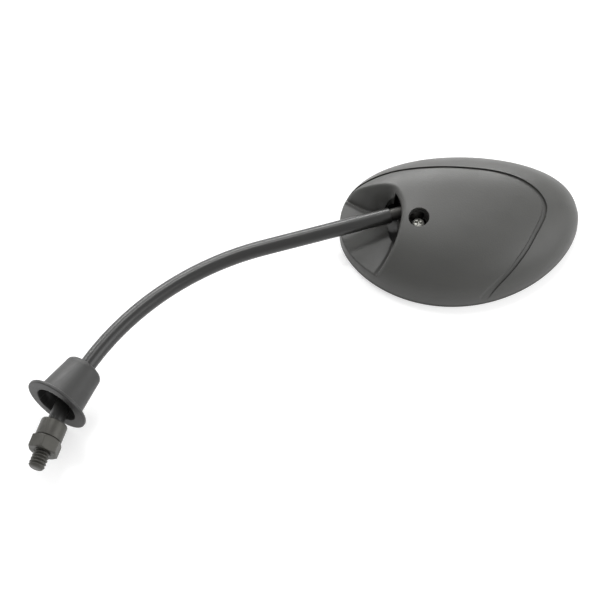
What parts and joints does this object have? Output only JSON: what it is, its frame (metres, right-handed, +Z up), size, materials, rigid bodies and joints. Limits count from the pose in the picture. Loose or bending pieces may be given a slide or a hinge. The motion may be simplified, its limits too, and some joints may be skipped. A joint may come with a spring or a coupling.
{
  "type": "motorcycle mirror",
  "caption": "Left-hand rear-view mirror with an egg-shaped housing on a ball joint, a bent tube stem, a rubber boot and a threaded end with a lock nut.",
  "frame": {"origin": "on the thread's axis, where the bare thread ends under the lock nut and the handlebar's seat meets it", "axes": "+Z up along the thread's axis, away from the handlebar; +Y ahead of the bike, so the glass faces -Y; +X to the bike's right, so the head reaches out to -X"},
  "size_m": [0.2827, 0.041, 0.2974],
  "materials": {
    "black_zinc_steel": "black zinc plating on turned steel",
    "stem_paint": "semi-gloss black powder coat",
    "bright_steel": "plain pressed or turned steel",
    "boot_rubber": "matt moulded rubber",
    "housing_plastic": "black moulded plastic with a fine grain",
    "bezel_plastic": "smooth black moulded plastic",
    "mirror_glass": "silvered glass",
    "pad_foam": "closed-cell foam",
    "bright_zinc": "bright zinc plating",
    "seat_nylon": "natural nylon"
  },
  "bodies": {
    "stem": {"end_fitting": "black_zinc_steel", "stem_tube": "stem_paint", "ball_stud": "bright_steel"},
    "nut": {"lock_nut": "black_zinc_steel"},
    "boot": {"rubber_boot": "boot_rubber"},
    "rear_pad": {"rear_seat_pad": "seat_nylon"},
    "front_pad": {"front_seat_pad": "seat_nylon"},
    "head": {"housing_shell": "housing_plastic", "rim_bezel": "bezel_plastic", "mirror_glass": "mirror_glass", "foam_pad": "pad_foam", "backing_plate": "bezel_plastic", "backing_screws": "bright_zinc", "socket_plate": "bright_steel", "socket_screws": "bright_zinc", "clamp_plate": "bright_steel", "clamp_screw": "bright_zinc", "spring_washer": "bright_zinc", "clamp_nut": "bright_zinc"}
  },
  "joints": [
    {"name": "nut_turn", "type": "hinge", "parent": "stem", "child": "nut", "pos_m": [0, 0, 0.005], "axis": [0, 0, 1], "continuous": true},
    {"name": "boot_slide", "type": "hinge", "parent": "stem", "child": "boot", "pos_m": [-0.184, 0, 0.021], "axis": [0, 1, 0], "range_deg": [-3, 9]},
    {"name": "stem_twist", "type": "hinge", "parent": "stem", "child": "rear_pad", "pos_m": [-0.15982, 0, 0.22806], "axis": [-0.8221, 0, 0.5693], "range_deg": [-20, 20]},
    {"name": "head_swing", "type": "hinge", "parent": "rear_pad", "child": "front_pad", "pos_m": [-0.15982, 0, 0.22806], "axis": [0, 1, 0], "range_deg": [-12, 12]},
    {"name": "head_tilt", "type": "hinge", "parent": "front_pad", "child": "head", "pos_m": [-0.15982, 0, 0.22806], "axis": [0.5693, 0, 0.8221], "range_deg": [-8, 8]}
  ]
}
